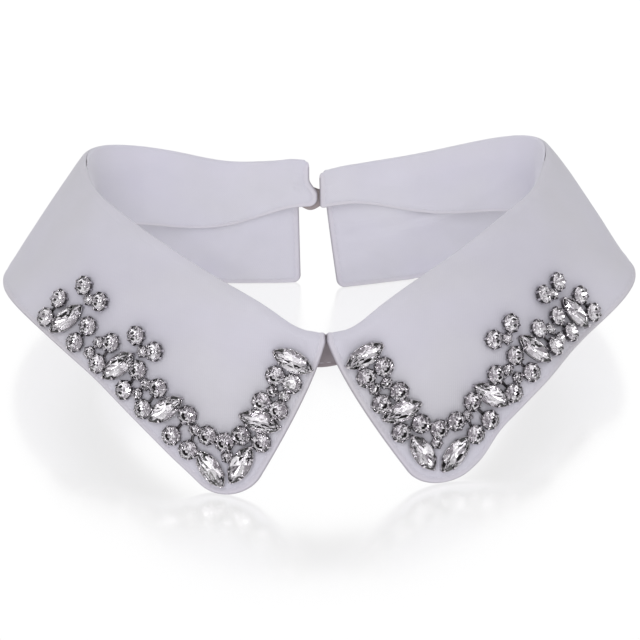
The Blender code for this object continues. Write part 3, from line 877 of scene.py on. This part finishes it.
white_cotton = cotton_material("white_cotton_weave", (0.728, 0.715, 0.803), (0.660, 0.648, 0.732))
# Outer faces of the leaves: the same white cotton made a little darker, as painted shade.
leaf_painted_shade_cotton = cotton_material("leaf_painted_shade_cotton_weave", (0.664, 0.652, 0.728), (0.602, 0.590, 0.664))
# Outer face of the neckband: the cotton darkened to painted shade, as where the leaves shut the light off
# it.
band_painted_shade_cotton = cotton_material("band_painted_shade_cotton_weave", (0.295, 0.258, 0.276), (0.24, 0.21, 0.225), weave=1.3)
grey_cotton = cotton_material("grey_cotton_weave", (0.42, 0.37, 0.38), (0.30, 0.26, 0.26), weave=1.4)
white_thread = thread_material("white_thread", (0.69, 0.68, 0.745))
crystal = crystal_material("cut_crystal", (0.995, 0.985, 1.0))
foil = metal_material("silver_foil", (0.99, 0.975, 0.995), (0.80, 0.785, 0.81), 0.0, 0.03, 900.0)
claw_metal = metal_material("claw_metal", (0.80, 0.77, 0.80), (0.36, 0.34, 0.36), 0.10, 0.26, 700.0)
cup_metal = metal_material("cup_metal", (0.15, 0.14, 0.15), (0.04, 0.037, 0.04), 0.22, 0.42, 700.0)

# Cloth pieces


def dress_leaf(name, leaf, facing, seed):
    """Cloth and stitches of one leaf, thinner and sunk where the neckband's cloth covers it."""
    grid, columns, rise = leaf_grid(leaf, name)
    normal = surface_normals(grid, facing)
    down = np.array([arc(column) for column in grid])
    along = np.repeat(columns[:, None], grid.shape[1], axis=1)
    share = np.clip(down / down[:, -1:], 0, 1)
    crest_run = arc(crest(leaf.place(columns)))
    top_run = crest_run - crest_run[-1] / 2
    across = (1 - share) * top_run[:, None] + share * (along - columns[-1] / 2)
    uv = np.stack([across, down], axis=2) * MM
    distance = distance_to(grid, free_edge(grid))
    half = edge_profile(distance, CLOTH)
    covered = np.array([facing_top(at) for at in leaf.place(columns)])[:, None]
    bare = smooth((rise - covered - 0.02) / 0.3)
    tucked = np.minimum(half, TUCKED_HALF + (CLOTH / 2 - TUCKED_HALF) * bare)
    half = np.where(bare < 1.0, tucked, half)
    half *= 0.25 + 0.75 * smooth(down / 0.3)
    fade = smooth(distance / 6.0) * smooth((down - 8.0) / 8.0)
    shift = (crease_field(name, along, down) + soft_waves(along, down, seed)) * fade
    shift -= TUCKED_SINK * (1.0 - bare)
    # The outer face takes the darker painted-shade copy of the cotton.
    made = shell(f"{name}_cloth", grid, normal, half, shift, uv, distance, [leaf_painted_shade_cotton, white_cotton])
    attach(made, "root")
    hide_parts(name)
    middle = len(columns) // 2
    toward = grid[middle, grid.shape[1] // 2] - grid[middle, -1]
    sewn = edge_stitches(f"{name}_stitching", grid, normal, shift, 1, toward)
    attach(sewn, "root")
    return made, sewn


def dress_stand():
    """Cloth and stitches of the neckband, whose upper edge is thin where it covers a leaf."""
    grid, columns, down = stand_grid()
    normal = surface_normals(grid, np.array([0.0, -1.0, 0.0]))
    along = np.repeat(columns[:, None], grid.shape[1], axis=1)
    uv = np.stack([along, down], axis=2) * MM
    distance = distance_to(grid, free_edge(grid))
    top_line = distance_to(grid, grid[:, 0])
    edge = from_end(along)
    past_left = smooth((LEAF_END_LEFT - LOBE - 0.6 - edge) / 0.8)
    past_right = smooth((LEAF_END_RIGHT - 0.5 - edge) / 0.6)
    past_leaf = np.where(along < RING_LENGTH / 2, past_left, past_right)
    thin = (1.0 - smooth((down + 0.5) / 0.9)) * (1.0 - past_leaf)
    half = edge_profile(distance, CLOTH)
    full_half = np.minimum(half, CLOTH / 2 * lip(top_line, 0.6) + 0.2)
    thin_half = np.minimum(half, FACING_WALL / 2 * lip(top_line, 0.3))
    half = full_half * (1 - thin) + thin_half * thin
    fade = smooth(distance / 4.0) * smooth(top_line / 2.5) * smooth((down - 0.5) / 3.0)
    shift = (crease_field("stand", along, down) + soft_waves(along, down, 11)) * fade
    shift -= (CLOTH - FACING_WALL) / 2 * thin
    dent_along, dent_down, depth, size = SNAP_DENT
    shift += depth * np.exp(-((along - dent_along) ** 2 + (down - dent_down) ** 2) / size**2)
    # The neckband's outer face takes the dark painted-shade cotton.
    made = shell("stand_cloth", grid, normal, half, shift, uv, distance, [white_cotton, band_painted_shade_cotton], 1)
    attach(made, "root")
    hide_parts("stand")
    sewn = edge_stitches("stand_stitching", grid, normal, shift, 0, UP)
    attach(sewn, "root")
    return made, sewn


def dress_tab():
    """Cloth of the closure tab."""
    grid = tab_grid()
    normal = surface_normals(grid, np.array([0.0, 1.0, 0.0]))
    edge_line = np.r_[free_edge(grid), grid[1:-1, 0][::-1], grid[0][:1]]
    distance = distance_to(grid, edge_line)
    half = edge_profile(distance, TAB_WALL)
    uv = np.stack([grid[:, :, 0], grid[:, :, 2]], axis=2) * MM
    made = shell("closure_tab_cloth", grid, normal, half, np.zeros(half.shape), uv, distance, [grey_cotton])
    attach(made, "root")
    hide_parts("closure_tab")
    return made


left = Leaf(LEAF_LEFT, FRONT - FRONT_GAP, LEAF_END_LEFT, TIP_RADIUS_LEFT)
right = Leaf(LEAF_RIGHT, FRONT + FRONT_GAP, RING_LENGTH - LEAF_END_RIGHT, TIP_RADIUS_RIGHT)
leaf_left, stitching_left = dress_leaf("leaf_left", left, np.array([-1.0, 0.0, 0.2]), 3)
leaf_right, stitching_right = dress_leaf("leaf_right", right, np.array([1.0, 0.0, 0.2]), 5)
stand, stitching_stand = dress_stand()
tab = dress_tab()

# Stones

CUT = {
    # kind      half length, half width, culet, girdle, top of the crown, table share
    "navette": (6.50, 3.08, 0.30, 2.05, 3.50, 0.56),
    "round": (2.86, 2.86, 0.25, 1.85, 3.10, 0.55),
    "small": (1.72, 1.72, 0.20, 1.10, 2.00, 0.55),
}
# Power of the sine in a pointed outline, height of the girdle, and shares of the outline at facet corners.
POINTED = 0.72
GIRDLE = 0.10
MID_SHARE = 0.80
LOW_SHARE = 0.42
# Cups: points round the rim, and how their ends draw in on a pointed stone.
RIM_POINTS = 32
POINT_FROM = 0.7
POINT_PULL = 0.6
POINT_CAP = 0.4
# Claws: angles round the stone in radians, widths, and taper and thickness from foot to tip.
CLAW_ANGLES = {
    "navette": (0.0, 0.98, 2.16, 3.1416, 4.12, 5.30),
    "round": tuple(0.39 + 0.785 * k for k in range(8)),
    "small": tuple(0.52 + 1.047 * k for k in range(6)),
}
CLAW_WIDTH = {"navette": 0.55, "round": 0.42, "small": 0.30}
CLAW_TAPER = (1.1, 1.0, 0.92, 0.86, 0.72, 0.34)
CLAW_THICKNESS = (0.10, 0.14, 0.16, 0.16, 0.14, 0.07)
# Bars between stones: half width, half height, rise above the seats, and share of the span at each end.
LINK_HALF_WIDTH = 0.5
LINK_HALF_HEIGHT = 0.28
LINK_RISE = 0.55
LINK_ENDS = (0.15, 0.85)
# Stones on a leaf: gap under them, and the most that one leans.
SEAT_GAP = 0.10
SEAT_TILT = 0.07
# Material slots, and the faces of a pointed stone's cup section that are bright.
GLASS, FOIL, CLAW, CUP = range(4)
BRIGHT_RIM = (2, 3, 4)


def outline_point(kind, angle):
    """Point of a stone's outline: an ellipse, or an oval with two points."""
    length, width = CUT[kind][:2]
    c, s = math.cos(angle), math.sin(angle)
    if kind != "navette":
        return np.array([length * c, width * s])
    return np.array([length * c, math.copysign(width * abs(1 - c * c) ** POINTED, s)])


def turned_out(verts, faces):
    """The same faces, turned to face out."""
    corner = [(verts[f[0]], verts[f[i]], verts[f[i + 1]]) for f in faces for i in range(1, len(f) - 1)]
    volume = sum(a @ np.cross(b, c) for a, b, c in corner)
    return faces if volume > 0 else [f[::-1] for f in faces]


def cut_stone(kind):
    """A cut stone: table, star, bezel and girdle facets above, a foiled point below."""
    culet, girdle, top, table = CUT[kind][2:]
    girdle_top = girdle + GIRDLE
    eighth = 2 * math.pi / 8

    def at(angle, share, height):
        return (*(outline_point(kind, angle) * share), height)

    planar = math.cos(eighth / 2)
    mid_height = girdle_top + (top - girdle_top) * (1 - MID_SHARE * planar) / (1 - table)
    low_height = culet + (girdle - culet) * LOW_SHARE * planar
    verts = [at(eighth * k, table, top) for k in range(8)]
    verts += [at(eighth * (k + 0.5), MID_SHARE, mid_height) for k in range(8)]
    verts += [at(eighth * k / 2, 1.0, girdle_top) for k in range(16)]
    verts += [at(eighth * k / 2, 1.0, girdle) for k in range(16)]
    verts += [at(eighth * (k + 0.5), LOW_SHARE, low_height) for k in range(8)]
    verts.append((0.0, 0.0, culet))
    mid_at, upper_at, lower_at, low_at, point_at = 8, 16, 32, 48, 56
    glass, foiled = [tuple(range(8))], []
    for k in range(8):
        n, p = (k + 1) % 8, (k - 1) % 8
        near, half, far = upper_at + 2 * k, upper_at + 2 * k + 1, upper_at + (2 * k + 2) % 16
        glass.append((k, mid_at + k, n))
        glass.append((k, mid_at + p, near, mid_at + k))
        glass.append((mid_at + k, near, half))
        glass.append((mid_at + k, half, far))
        near, half, far = (i + 16 for i in (near, half, far))
        foiled.append((point_at, low_at + k, near, low_at + p))
        foiled.append((low_at + k, half, near))
        foiled.append((low_at + k, far, half))
    for k in range(16):
        n = (k + 1) % 16
        glass.append((upper_at + k, lower_at + k, lower_at + n, upper_at + n))
    verts = np.array(verts)
    slots = [GLASS] * len(glass) + [FOIL] * len(foiled)
    return verts, turned_out(verts, glass + foiled), slots, False


def swept(path, widths, heights, side, sides=6):
    """Closed strip along a path with an oval section; side is the direction of its width."""
    path = np.asarray(path, float)
    verts = []
    for here, ahead, width, height in zip(path, np.gradient(path, axis=0), widths, heights):
        other = unit(np.cross(unit(ahead), side))
        for s in range(sides):
            angle = 2 * math.pi * s / sides
            verts.append(here + side * width * math.cos(angle) + other * height * math.sin(angle))
    return np.array(verts), tube_faces(len(path), sides)


def claw_way(kind, angle):
    """Direction away from the stone at a claw: from its middle, or square to a pointed stone's outline."""
    out = outline_point(kind, angle)
    if kind != "navette":
        return unit(out)
    if abs(math.sin(angle)) < 0.05:
        return np.array([math.copysign(1.0, out[0]), 0.0])
    ahead = outline_point(kind, angle + 0.05) - outline_point(kind, angle - 0.05)
    return unit(np.array([ahead[1], -ahead[0]]))


def setting(kind):
    """Cup with a low rim and claws bent over the stone."""
    length, width, _, girdle, top, _ = CUT[kind]
    outside = ((0.80, 0.02), (0.90, 0.30), (1.05, girdle - 0.45), (1.075, girdle - 0.12))
    inside = ((1.02, girdle - 0.06), (0.985, girdle - 0.40), (0.70, 0.25), (0.62, 0.04))
    section = outside + inside
    verts, faces = [], []
    for k in range(RIM_POINTS):
        angle = 2 * math.pi * k / RIM_POINTS
        for share, height in section:
            x, y = outline_point(kind, angle) * share
            if kind == "navette" and abs(math.cos(angle)) > POINT_FROM:
                grow = (share - 1.0) * (length - width) * POINT_PULL
                x -= math.copysign(min(abs(grow), POINT_CAP), grow * math.cos(angle))
            verts.append((x, y, height))
    step = len(section)
    for k in range(RIM_POINTS):
        n = (k + 1) % RIM_POINTS
        for s in range(step):
            t = (s + 1) % step
            faces.append((k * step + s, k * step + t, n * step + t, n * step + s))
    bright = BRIGHT_RIM if kind == "navette" else ()
    slots = [CLAW if k % step in bright else CUP for k in range(len(faces))]
    crown = top - girdle
    foot = ((0.10, 0.30), (0.30, girdle * 0.55), (0.30, girdle + 0.05))
    hook = ((0.10, girdle + 0.38 * crown), (-0.30, girdle + 0.62 * crown), (-0.62, girdle + 0.78 * crown))
    widths = [CLAW_WIDTH[kind] * share for share in CLAW_TAPER]
    for angle in CLAW_ANGLES[kind]:
        out, way = outline_point(kind, angle), claw_way(kind, angle)
        path = [(*(out + way * gap), height) for gap, height in foot + hook]
        claw_verts, claw_faces = swept(path, widths, CLAW_THICKNESS, np.array([-way[1], way[0], 0.0]))
        faces += renumbered(claw_faces, len(verts))
        verts += [tuple(v) for v in claw_verts]
        slots += [CLAW] * len(claw_faces)
    verts = np.array(verts)
    return verts, turned_out(verts, faces), slots, True


def link(first, second, way):
    """Solder bar between the seats of two stones."""
    span = second - first
    path = [first + span * share + way * LINK_RISE for share in np.linspace(*LINK_ENDS, 4)]
    verts, faces = swept(path, [LINK_HALF_WIDTH] * 4, [LINK_HALF_HEIGHT] * 4, unit(np.cross(way, span)))
    return verts, turned_out(verts - verts.mean(axis=0), faces), [CUP] * len(faces), True


def stone_seat(leaf, kind, along, up, turn, draw):
    """Seat of a stone on a leaf, with its own axes: along it, across it and outwards."""
    here, right_way, up_way, normal = leaf.frame(along, up)
    if np.cross(right_way, up_way) @ normal < 0:
        up_way, turn = -up_way, -turn
    angle = math.radians(turn)
    if kind != "navette":
        angle += draw.uniform(0, math.pi / 2)
    tilt = draw.uniform(-SEAT_TILT, SEAT_TILT, 2)
    normal = unit(normal + right_way * tilt[0] + up_way * tilt[1])
    long_way = right_way * math.cos(angle) + up_way * math.sin(angle)
    long_way = unit(long_way - (long_way @ normal) * normal)
    return here + normal * (CLOTH / 2 + SEAT_GAP), np.array([long_way, np.cross(normal, long_way), normal])


def joined(name, parts, materials):
    """One object from parts, each with its points, faces, material slots and whether it is smooth."""
    verts, faces, slots, rounded = [], [], [], []
    for points, part_faces, part_slots, is_round in parts:
        faces += renumbered(part_faces, len(verts))
        verts += list(points)
        slots += part_slots
        rounded += [is_round] * len(part_faces)
    return add_mesh(name, verts, faces, materials, slots, rounded)


CUTS = {kind: cut_stone(kind) for kind in CUT}
SETTINGS = {kind: setting(kind) for kind in CUT}


def dress_trim(leaf, side, share, rise, seed):
    """One piece for each set of stones: stones, foils, settings and the bars between them."""
    draw = np.random.default_rng(seed)
    sets = {}
    for kind, along, up, turn, name in TRIM:
        sets.setdefault(name, []).append((kind, along * share, up + rise, turn))
    for name, rows in sets.items():
        parts, seats = [], []
        for kind, along, up, turn in rows:
            seat, axes = stone_seat(leaf, kind, along, up, turn, draw)
            for points, *rest in (CUTS[kind], SETTINGS[kind]):
                parts.append((seat + points @ axes, *rest))
            seats.append((seat, axes[2]))
        for (first, way), (second, _) in zip(seats, seats[1:]):
            parts.append(link(first, second, way))
        piece = joined(f"{name}_{side}_stones", parts, [crystal, foil, claw_metal, cup_metal])
        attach(piece, "root")
        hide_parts(f"{name}_{side}")


dress_trim(left, "left", TRIM_SHARE_LEFT, TRIM_RISE_LEFT, 21)
dress_trim(right, "right", TRIM_SHARE_RIGHT, TRIM_RISE_RIGHT, 22)

# Floor, light and camera, in metres

FLOOR_SIZE = 6.0
FLOOR_DROP = 0.0002
FLOOR_SURFACE = {
    "Base Color": (0.26, 0.26, 0.26, 1.0),
    "Roughness": 0.20,
    "Metallic": 0.80,
    "Emission Color": (1.0, 1.0, 1.0, 1.0),
    "Emission Strength": 0.74,
}
# World's tones against a level that rises from the camera's side to the far side and upwards.
WORLD_TONES = ((0.20, (0.40, 0.375, 0.40)), (0.56, WHITE), (0.70, WHITE), (0.80, (1.55, 1.55, 1.55)))
WORLD_STRENGTH = 0.66
LIGHT_AIM = (0.0, 0.0, 0.03)
LIGHTS = (
    # name          place                 size          power
    ("key_left", (-0.55, -0.75, 1.00), (0.30, 0.30), 0.15),
    ("fill_right", (0.80, -0.65, 0.75), (0.20, 0.40), 0.15),
    ("top", (0.0, 0.10, 1.25), (1.0, 0.7), 0.3),
    ("front_low", (-0.05, -1.10, 0.34), (1.1, 0.12), 1.45),
    ("front_high", (-0.15, -1.00, 0.56), (0.9, 0.06), 1.5),
    ("front_top", (-0.10, -0.75, 1.10), (0.7, 0.45), 2.6),
    ("glint_left", (-0.42, -0.95, 0.85), (0.06, 0.06), 0.9),
    ("glint_right", (0.36, -1.00, 0.72), (0.06, 0.06), 0.75),
)
CAMERA_TARGET = Vector((-0.001485, -0.014292, 0.033))
CAMERA_AZIMUTH = math.radians(-2.5)
CAMERA_ELEVATION = math.radians(35.0)
CAMERA_DISTANCE = 0.760
AIM_LOWER = 0.00063
# Lens and sensor, in millimetres.
CAMERA_LENS = 135.0
CAMERA_SENSOR = 36.0


def add_floor():
    mesh = bpy.data.meshes.new("floor")
    half = FLOOR_SIZE / 2
    corners = [(-half, -half, 0), (half, -half, 0), (half, half, 0), (-half, half, 0)]
    mesh.from_pydata(corners, [], [(0, 1, 2, 3)])
    mesh.materials.append(new_material("pale_floor", FLOOR_SURFACE)[0])
    floor = bpy.data.objects.new("floor", mesh)
    bpy.context.scene.collection.objects.link(floor)
    floor.location = (0, 0, -FLOOR_DROP)


def add_world():
    """Pale studio round the table, darker on the camera's side, so that facets have darkness to show."""
    world = bpy.data.worlds.new("studio")
    bpy.context.scene.world = world
    world.use_nodes = True
    tree = world.node_tree
    place = node(tree, "ShaderNodeTexCoord", {}).outputs["Generated"]
    split = node(tree, "ShaderNodeSeparateXYZ", {0: place})
    ahead = maths(tree, "MULTIPLY", split.outputs[1], 0.42)
    above = maths(tree, "MULTIPLY", split.outputs[2], 0.16)
    level = maths(tree, "ADD", maths(tree, "ADD", ahead, above), 0.42)
    back = tree.nodes["Background"]
    tree.links.new(tones(tree, level, WORLD_TONES), back.inputs["Color"])
    back.inputs["Strength"].default_value = WORLD_STRENGTH


def add_light(name, place, size, power):
    data = bpy.data.lights.new(name, "AREA")
    data.shape = "RECTANGLE"
    data.size, data.size_y = size
    data.energy = power
    lamp = bpy.data.objects.new(name, data)
    lamp.location = place
    lamp.rotation_euler = (Vector(LIGHT_AIM) - Vector(place)).to_track_quat("-Z", "Y").to_euler()
    bpy.context.scene.collection.objects.link(lamp)


def add_camera():
    data = bpy.data.cameras.new("photo_view")
    data.lens = CAMERA_LENS
    data.sensor_width = CAMERA_SENSOR
    data.clip_start = 0.05
    data.clip_end = 20.0
    camera = bpy.data.objects.new("photo_view", data)
    flat = math.cos(CAMERA_ELEVATION)
    sideways, forward = math.sin(CAMERA_AZIMUTH) * flat, -math.cos(CAMERA_AZIMUTH) * flat
    back = Vector((sideways, forward, math.sin(CAMERA_ELEVATION)))
    right_way = Vector((0, 0, 1)).cross(back).normalized()
    aim = CAMERA_TARGET - back.cross(right_way) * AIM_LOWER
    camera.location = aim + back * CAMERA_DISTANCE
    camera.rotation_euler = (-back).to_track_quat("-Z", "Y").to_euler()
    bpy.context.scene.collection.objects.link(camera)
    bpy.context.scene.camera = camera


add_floor()
add_world()
for light in LIGHTS:
    add_light(*light)
add_camera()
bpy.context.scene.view_settings.view_transform = "Standard"
